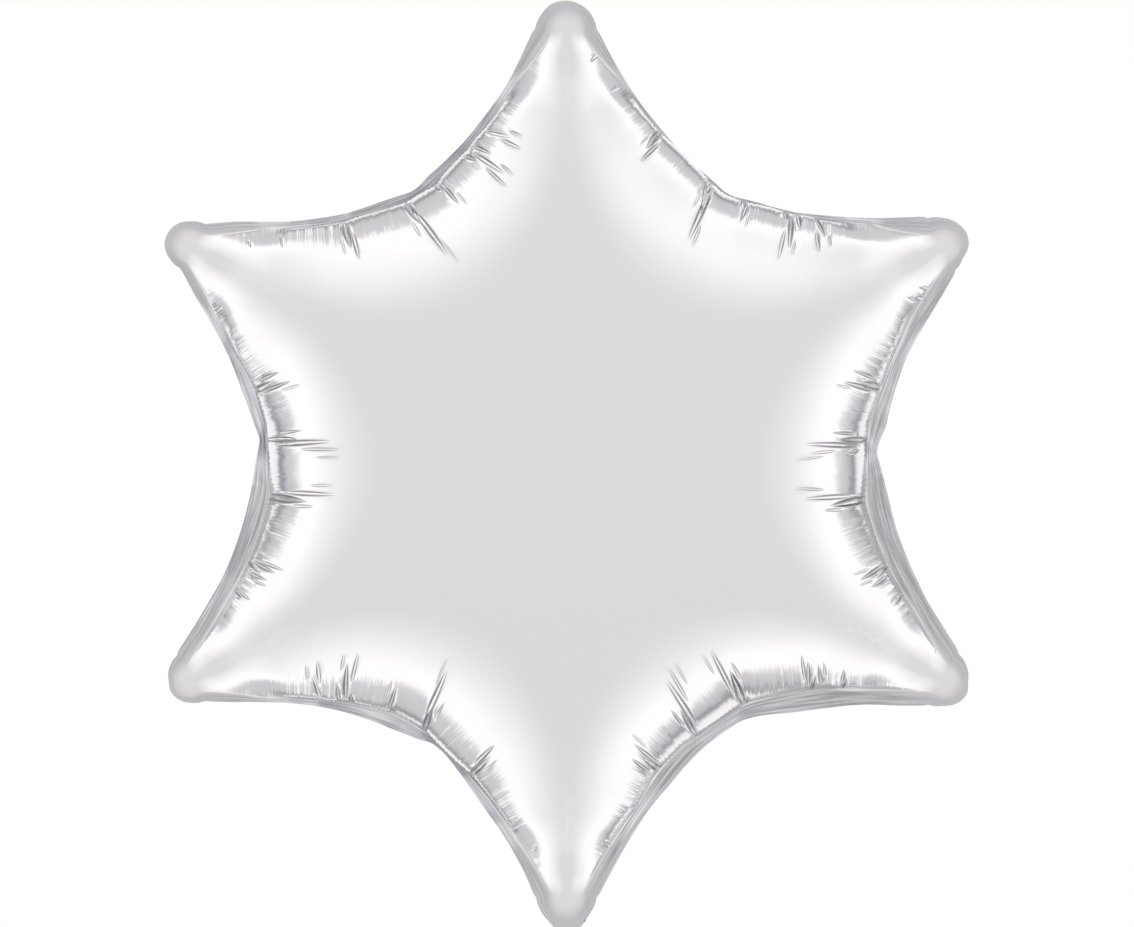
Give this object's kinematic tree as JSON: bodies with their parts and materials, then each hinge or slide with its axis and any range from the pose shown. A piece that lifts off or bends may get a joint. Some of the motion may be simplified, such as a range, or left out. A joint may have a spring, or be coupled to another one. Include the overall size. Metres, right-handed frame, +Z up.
{
  "type": "star foil balloon",
  "caption": "Inflated star of silver metallised film: domed panels welded round a flat margin, puckered between the points, with a folded filling neck.",
  "frame": {"origin": "centre of the inflated envelope, half way between its two faces, where the air holds it up", "axes": "+Z up to the top point, -Y towards the front, +X to the right as seen from the front"},
  "size_m": [0.437, 0.172, 0.5011],
  "materials": {
    "silver_foil": "mirror bright metallised film with fine wrinkles",
    "welded_foil": "satin, pressed flat by the sealing bar",
    "clear_film": "clear thin film"
  },
  "bodies": {
    "envelope": {"front_panel": "silver_foil", "back_panel": "silver_foil", "heat_seal": "welded_foil"},
    "neck": {"neck_back_film": "silver_foil", "neck_front_film": "silver_foil", "neck_seal_left": "welded_foil", "neck_seal_right": "welded_foil", "valve_sleeve": "clear_film"}
  },
  "joints": [
    {"name": "neck_fold", "type": "hinge", "parent": "envelope", "child": "neck", "pos_m": [0, 0.0014, -0.2503], "axis": [-1, 0, 0], "range_deg": [0, 159]}
  ]
}
